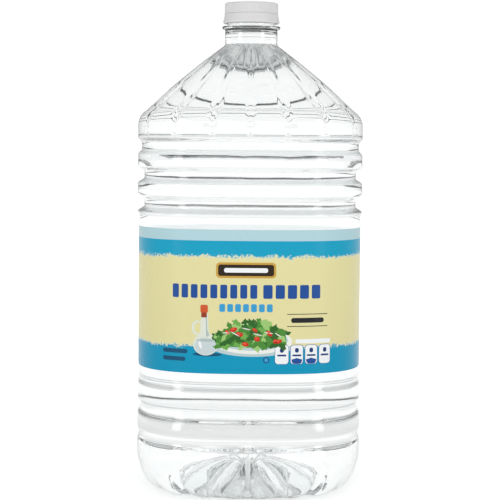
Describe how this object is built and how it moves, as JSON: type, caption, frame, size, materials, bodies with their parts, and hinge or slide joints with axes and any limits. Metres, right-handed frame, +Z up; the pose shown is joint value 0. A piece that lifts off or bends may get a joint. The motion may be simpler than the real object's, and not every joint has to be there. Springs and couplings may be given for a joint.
{
  "type": "vinegar bottle",
  "caption": "Clear ribbed plastic bottle, square with bulged sides, with a fluted shoulder, a wrap label, a white screw cap and its drink.",
  "frame": {"origin": "centre of the foot, on the surface the bottle stands on", "axes": "+Z up along the bottle's axis, the middle of the label's front faces -Y, +X to the right of it"},
  "size_m": [0.1374, 0.1374, 0.2975],
  "materials": {
    "clear_plastic": "clear moulded plastic, glossy",
    "clear_drink": "clear colourless liquid",
    "label_print": "smooth printed label, satin",
    "white_plastic": "moulded white plastic, satin"
  },
  "bodies": {
    "root": {"bottle": "clear_plastic", "vinegar": "clear_drink", "label": "label_print", "cap": "white_plastic", "tamper_band": "white_plastic"}
  },
  "joints": []
}
